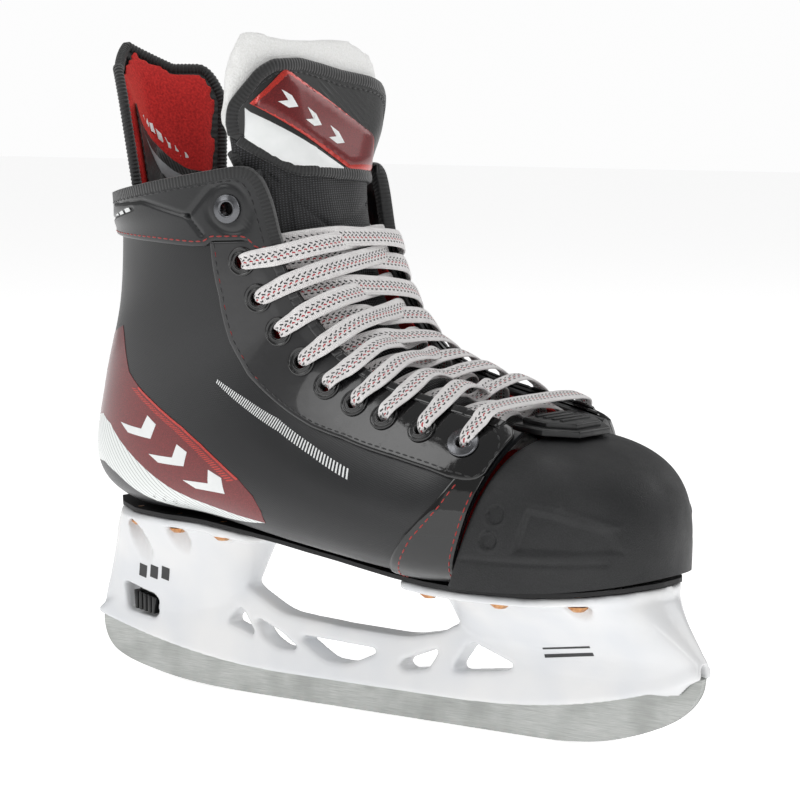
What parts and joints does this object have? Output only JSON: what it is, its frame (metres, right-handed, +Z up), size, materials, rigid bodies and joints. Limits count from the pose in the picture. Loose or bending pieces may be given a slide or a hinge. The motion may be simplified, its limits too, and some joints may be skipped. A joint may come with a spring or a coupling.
{
  "type": "ice hockey skate",
  "caption": "Right-foot ice hockey skate: laced composite boot with felt tongue and tendon guard, white blade holder with quick-release trigger, removable steel runner.",
  "frame": {"origin": "middle of the runner's flat bottom, on the ice, in the middle plane of the steel", "axes": "+X forward along the runner to the toe, +Y to the wearer's left, the medial side of this right-foot skate, +Z up from the ice"},
  "size_m": [0.284, 0.1031, 0.2576],
  "materials": {
    "boot_liner": "black brushed lining over foam",
    "boot_shell": "satin charcoal composite with a fine weave",
    "collar_composite": "charcoal embossed coated synthetic",
    "collar_padding": "black foam-backed lining",
    "eyelet_black": "black enamelled eyelet",
    "eyelet_gunmetal": "gunmetal plated brass eyelet",
    "facing_patent": "black patent coated synthetic",
    "footbed": "red textile over foam",
    "guard_lining": "bright red brushed felt",
    "guard_strap": "black ribbed webbing",
    "holder": "white moulded nylon, satin gloss",
    "lace": "flat woven white lace with black and red flecks",
    "lace_tip": "clear acetate tip",
    "outsole": "black composite board",
    "release_trigger": "black moulded, ribbed",
    "rivet_copper": "copper plated rivet",
    "runner": "satin ground stainless steel",
    "tendon_guard": "black flexible moulding with ribbed edge",
    "toe_band_patent": "black patent coated synthetic",
    "toe_bridge": "matte black moulding",
    "toe_cap": "grained matte black moulding",
    "tongue_badge": "moulded badge, red metallic band over a white panel",
    "tongue_cover": "black woven synthetic with bound edge",
    "tongue_felt": "thick white felt",
    "trigger_pin": "plain steel pin",
    "trigger_spring": "spring wire"
  },
  "bodies": {
    "boot": {"boot_liner": "boot_liner", "boot_shell": "boot_shell", "collar_lateral": "collar_composite", "collar_medial": "collar_composite", "collar_padding_lateral": "collar_padding", "collar_padding_medial": "collar_padding", "eyelet_lateral_1": "eyelet_gunmetal", "eyelet_lateral_10": "eyelet_gunmetal", "eyelet_lateral_2": "eyelet_black", "eyelet_lateral_3": "eyelet_black", "eyelet_lateral_4": "eyelet_black", "eyelet_lateral_5": "eyelet_black", "eyelet_lateral_6": "eyelet_black", "eyelet_lateral_7": "eyelet_black", "eyelet_lateral_8": "eyelet_black", "eyelet_lateral_9": "eyelet_black", "eyelet_medial_1": "eyelet_gunmetal", "eyelet_medial_10": "eyelet_gunmetal", "eyelet_medial_2": "eyelet_black", "eyelet_medial_3": "eyelet_black", "eyelet_medial_4": "eyelet_black", "eyelet_medial_5": "eyelet_black", "eyelet_medial_6": "eyelet_black", "eyelet_medial_7": "eyelet_black", "eyelet_medial_8": "eyelet_black", "eyelet_medial_9": "eyelet_black", "facing_lateral": "facing_patent", "facing_medial": "facing_patent", "footbed": "footbed", "front_rivet_1": "rivet_copper", "front_rivet_2": "rivet_copper", "front_rivet_3": "rivet_copper", "front_rivet_4": "rivet_copper", "front_rivet_5": "rivet_copper", "front_rivet_6": "rivet_copper", "guard_strap": "guard_strap", "holder": "holder", "lace": "lace", "lace_tip_1": "lace_tip", "lace_tip_2": "lace_tip", "outsole": "outsole", "rear_rivet_1": "rivet_copper", "rear_rivet_2": "rivet_copper", "rear_rivet_3": "rivet_copper", "rear_rivet_4": "rivet_copper", "rear_rivet_5": "rivet_copper", "rear_rivet_6": "rivet_copper", "toe_band_lateral": "toe_band_patent", "toe_band_medial": "toe_band_patent", "toe_bridge": "toe_bridge", "toe_cap": "toe_cap", "tongue_badge": "tongue_badge", "tongue_cover": "tongue_cover", "tongue_felt": "tongue_felt", "trigger_pin": "trigger_pin", "trigger_spring": "trigger_spring"},
    "runner": {"runner": "runner"},
    "trigger": {"release_trigger": "release_trigger"},
    "guard": {"tendon_guard": "tendon_guard", "guard_lining": "guard_lining"}
  },
  "joints": [
    {"name": "runner_release", "type": "hinge", "parent": "boot", "child": "runner", "pos_m": [0.141, 0, 0.0335], "axis": [0, -1, 0], "range_deg": [0, 5]},
    {"name": "release_trigger", "type": "hinge", "parent": "boot", "child": "trigger", "pos_m": [-0.112, 0, 0.05], "axis": [0, 1, 0], "range_deg": [0, 12], "stiffness_Nm_per_rad": 0.25, "springref_deg": -20.05},
    {"name": "tendon_guard_flex", "type": "hinge", "parent": "boot", "child": "guard", "pos_m": [-0.112, 0, 0.192], "axis": [0, -1, 0], "range_deg": [0, 12], "stiffness_Nm_per_rad": 8, "springref_deg": -1.15}
  ],
  "couplings": [
    {"joint": "release_trigger", "follows": "runner_release", "ratio": 2.4}
  ]
}
